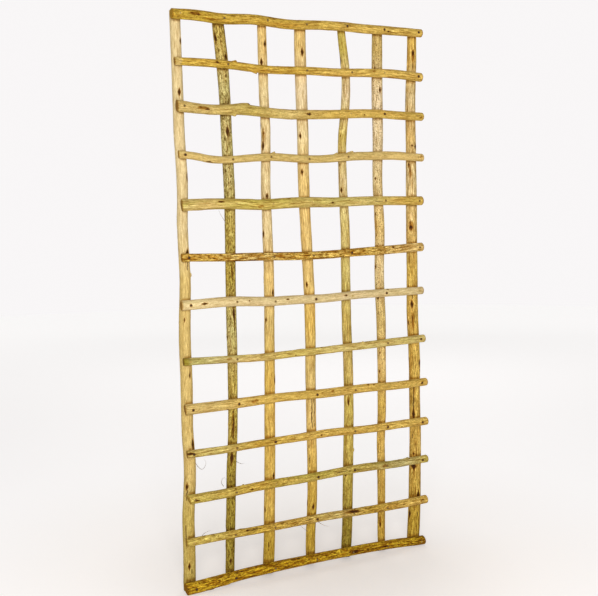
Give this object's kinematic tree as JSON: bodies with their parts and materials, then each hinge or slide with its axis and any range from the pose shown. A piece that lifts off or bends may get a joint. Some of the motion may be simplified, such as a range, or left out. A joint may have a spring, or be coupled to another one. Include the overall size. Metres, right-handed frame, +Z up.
{
  "type": "lattice trellis",
  "caption": "Rustic garden trellis panel of wavy peeled round poles, rails nailed square across uprights, open cells for climbing plants.",
  "frame": {"origin": "middle of the base, on the surface the sawn feet stand on", "axes": "+Z up along the uprights, +X along the rails, -Y the front, where the rails lie"},
  "size_m": [0.926, 0.0827, 1.7958],
  "materials": {
    "cream_wood": "peeled pale cream pole, dry and matt",
    "honey_wood": "peeled honey pole, dry and matt",
    "gold_wood": "peeled golden pole, satin where bark was scraped",
    "olive_wood": "peeled pole with a green-olive tinge, dry and matt",
    "brown_wood": "peeled pole with brown inner bark left on, matt",
    "nail_steel": "dull dark wire nail"
  },
  "bodies": {
    "root": {"upright_1": "cream_wood", "upright_2": "olive_wood", "upright_3": "honey_wood", "upright_4": "honey_wood", "upright_5": "olive_wood", "upright_6": "honey_wood", "upright_7": "gold_wood", "rail_01": "gold_wood", "rail_02": "gold_wood", "rail_03": "honey_wood", "rail_04": "cream_wood", "rail_05": "olive_wood", "rail_06": "brown_wood", "rail_07": "cream_wood", "rail_08": "olive_wood", "rail_09": "honey_wood", "rail_10": "gold_wood", "rail_11": "olive_wood", "rail_12": "gold_wood", "rail_13": "brown_wood", "nail_01_1": "nail_steel", "nail_01_2": "nail_steel", "nail_01_3": "nail_steel", "nail_01_4": "nail_steel", "nail_01_5": "nail_steel", "nail_01_6": "nail_steel", "nail_01_7": "nail_steel", "nail_02_1": "nail_steel", "nail_02_7": "nail_steel", "nail_03_1": "nail_steel", "nail_03_7": "nail_steel", "nail_04_1": "nail_steel", "nail_04_7": "nail_steel", "nail_05_1": "nail_steel", "nail_05_7": "nail_steel", "nail_06_1": "nail_steel", "nail_06_7": "nail_steel", "nail_07_1": "nail_steel", "nail_07_7": "nail_steel", "nail_08_1": "nail_steel", "nail_08_7": "nail_steel", "nail_09_1": "nail_steel", "nail_09_7": "nail_steel", "nail_10_1": "nail_steel", "nail_10_7": "nail_steel", "nail_11_1": "nail_steel", "nail_11_7": "nail_steel", "nail_12_1": "nail_steel", "nail_12_7": "nail_steel", "nail_13_1": "nail_steel", "nail_13_2": "nail_steel", "nail_13_3": "nail_steel", "nail_13_4": "nail_steel", "nail_13_5": "nail_steel", "nail_13_6": "nail_steel", "nail_13_7": "nail_steel"}
  },
  "joints": []
}
